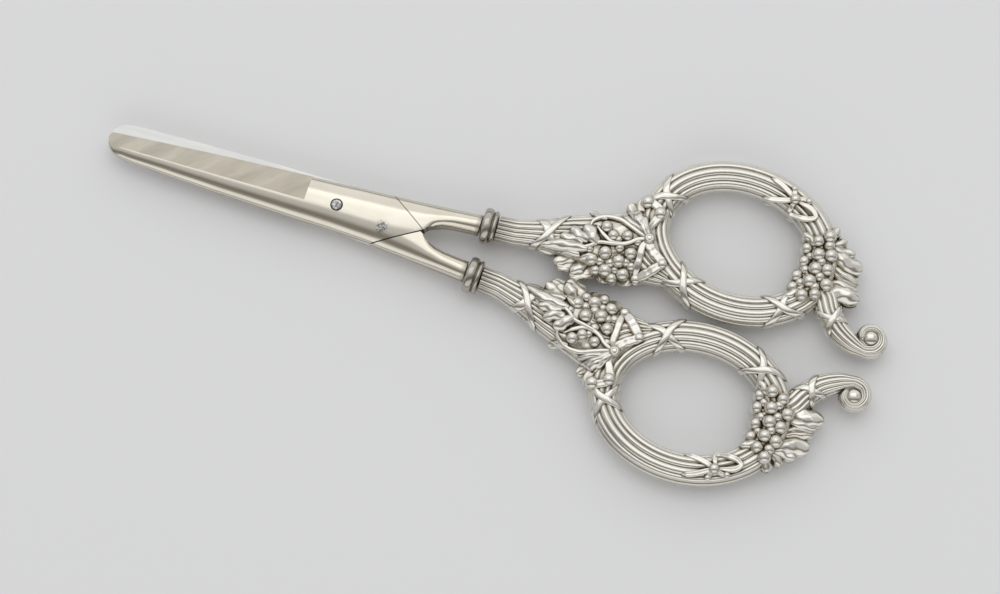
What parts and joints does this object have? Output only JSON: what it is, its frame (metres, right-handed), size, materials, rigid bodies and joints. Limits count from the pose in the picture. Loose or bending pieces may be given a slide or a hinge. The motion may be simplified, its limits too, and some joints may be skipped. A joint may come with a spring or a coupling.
{
  "type": "grape shears",
  "caption": "Table shears for cutting grape stems: two slim lapped blades on a rivet, with hollow reeded ring handles dressed with vine leaves, grapes and ribbon bows.",
  "frame": {"origin": "on the pivot axis, in the plane of the rivet's flat back end", "axes": "+X from the pivot to the handles, +Y to the upper handle, +Z out of the front of the shears"},
  "size_m": [0.181, 0.0746, 0.0083],
  "materials": {
    "gilt_steel": "polished, thin pale gilding",
    "bare_steel": "filed flush",
    "silver": "bright silver with dark tarnish in the recesses",
    "pitch": "matte pitch filling"
  },
  "bodies": {
    "upper_half": {"upper_back_bow": "silver", "upper_back_end_grapes": "silver", "upper_back_grapes": "silver", "upper_back_leaf": "silver", "upper_back_shell": "silver", "upper_back_small_bow": "silver", "upper_collar": "silver", "upper_end_leaf": "silver", "upper_filling": "pitch", "upper_front_bow": "silver", "upper_front_end_grapes": "silver", "upper_front_grapes": "silver", "upper_front_leaf": "silver", "upper_front_shell": "silver", "upper_front_small_bow": "silver", "front_blade": "gilt_steel", "pivot_rivet": "bare_steel"},
    "lower_half": {"lower_back_bow": "silver", "lower_back_end_grapes": "silver", "lower_back_grapes": "silver", "lower_back_leaf": "silver", "lower_back_shell": "silver", "lower_back_small_bow": "silver", "lower_collar": "silver", "lower_end_leaf": "silver", "lower_filling": "pitch", "lower_front_bow": "silver", "lower_front_end_grapes": "silver", "lower_front_grapes": "silver", "lower_front_leaf": "silver", "lower_front_shell": "silver", "lower_front_small_bow": "silver", "rear_blade": "gilt_steel"}
  },
  "joints": [
    {"name": "pivot", "type": "hinge", "parent": "upper_half", "child": "lower_half", "pos_m": [0, 0, 0], "axis": [0, 0, -1], "range_deg": [0, 50]}
  ]
}
